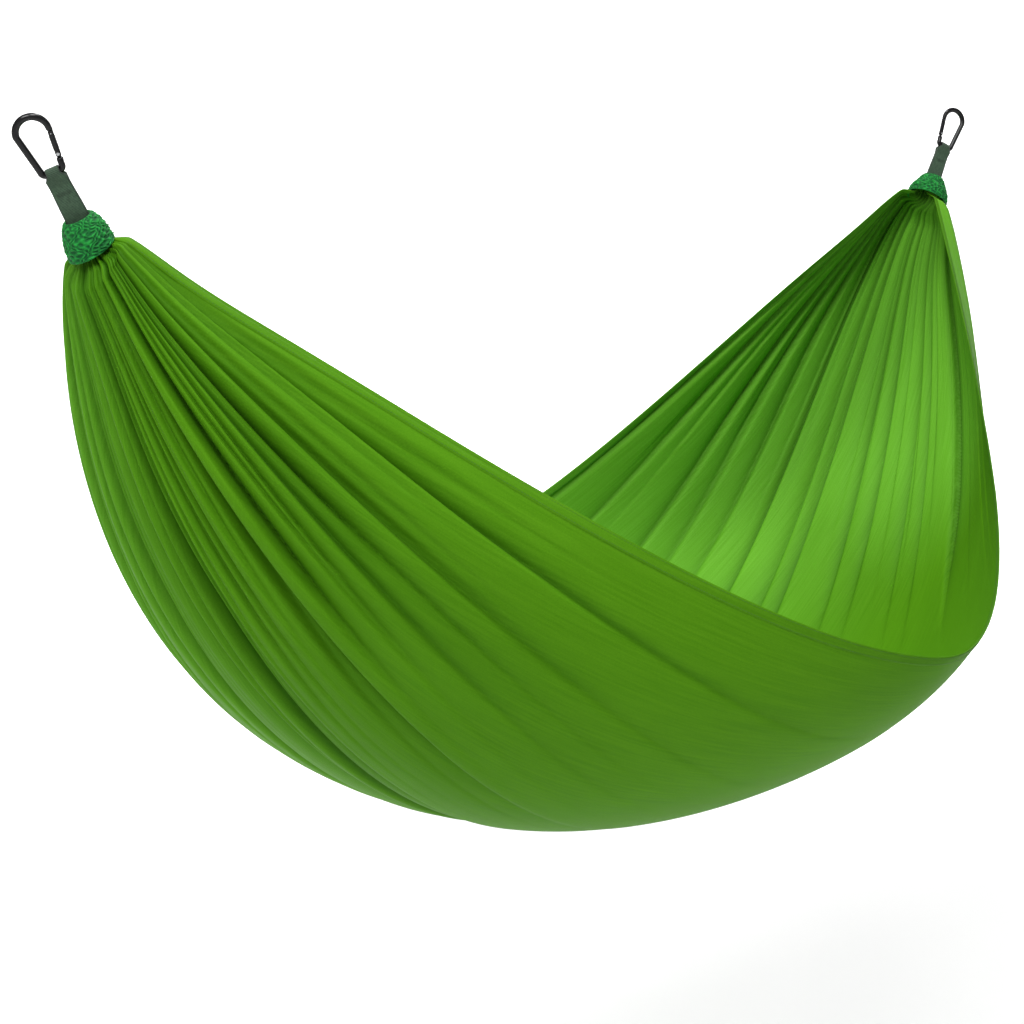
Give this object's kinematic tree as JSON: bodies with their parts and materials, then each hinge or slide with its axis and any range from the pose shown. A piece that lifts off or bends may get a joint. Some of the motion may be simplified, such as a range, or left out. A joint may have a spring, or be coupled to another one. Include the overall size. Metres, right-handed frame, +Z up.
{
  "type": "camping hammock",
  "caption": "Gathered-end camping hammock: a long nylon bed bunched into ruched sleeves, with a webbing loop and a gated carabiner at each end.",
  "frame": {"origin": "seat of the left carabiner's crown, the point its anchor pulls on", "axes": "+X from the left end to the right end, level with both carabiner crowns; -Y is the front side; +Z is up"},
  "size_m": [1.8091, 1.0935, 1.0165],
  "materials": {
    "cloth": "woven nylon with a slight sheen",
    "hem": "folded and stitched nylon",
    "sleeve": "ruched deep green cloth",
    "webbing": "flat ribbed webbing",
    "thread": "dense stitching",
    "cord": "braided cord",
    "black_alloy": "black, glossy",
    "steel": "bright"
  },
  "bodies": {
    "bed": {"bed_fabric_left": "cloth", "bed_fabric_middle": "cloth", "bed_fabric_right": "cloth", "front_hem": "hem", "rear_hem": "hem", "left_end_sleeve": "sleeve", "left_gather_cord": "cord", "right_end_sleeve": "sleeve", "right_gather_cord": "cord"},
    "left_strap": {"left_webbing": "webbing", "left_stitch_block": "thread"},
    "left_carabiner": {"left_carabiner_frame": "black_alloy", "left_gate_rivet": "steel"},
    "left_gate": {"left_carabiner_gate": "black_alloy", "left_latch_pin": "steel", "left_gate_plunger": "steel", "left_gate_spring": "steel"},
    "right_strap": {"right_webbing": "webbing", "right_stitch_block": "thread"},
    "right_carabiner": {"right_carabiner_frame": "black_alloy", "right_gate_rivet": "steel"},
    "right_gate": {"right_carabiner_gate": "black_alloy", "right_latch_pin": "steel", "right_gate_plunger": "steel", "right_gate_spring": "steel"}
  },
  "joints": [
    {"name": "left_strap_swing", "type": "hinge", "parent": "bed", "child": "left_strap", "pos_m": [0.06033, 0, -0.11346], "axis": [-0.7233, 0.5736, -0.3846], "range_deg": [-20, 20]},
    {"name": "left_carabiner_turn", "type": "hinge", "parent": "left_strap", "child": "left_carabiner", "pos_m": [0.03047, 0, -0.0573], "axis": [-0.7233, 0.5736, -0.3846], "range_deg": [-80, 80]},
    {"name": "left_gate_open", "type": "hinge", "parent": "left_carabiner", "child": "left_gate", "pos_m": [0.03253, -0.00852, -0.03527], "axis": [-0.5064, -0.8192, -0.2693], "range_deg": [0, 32], "stiffness_Nm_per_rad": 0.06, "springref_deg": -20.05},
    {"name": "right_strap_swing", "type": "hinge", "parent": "bed", "child": "right_strap", "pos_m": [1.72113, 0, -0.11346], "axis": [0.8187, -0.3746, -0.4353], "range_deg": [-20, 20]},
    {"name": "right_carabiner_turn", "type": "hinge", "parent": "right_strap", "child": "right_carabiner", "pos_m": [1.75098, 0, -0.0573], "axis": [0.8187, -0.3746, -0.4353], "range_deg": [-80, 80]},
    {"name": "right_gate_open", "type": "hinge", "parent": "right_carabiner", "child": "right_gate", "pos_m": [1.74751, 0.00556, -0.03452], "axis": [0.3308, 0.9272, -0.1759], "range_deg": [0, 32], "stiffness_Nm_per_rad": 0.06, "springref_deg": -20.05}
  ]
}
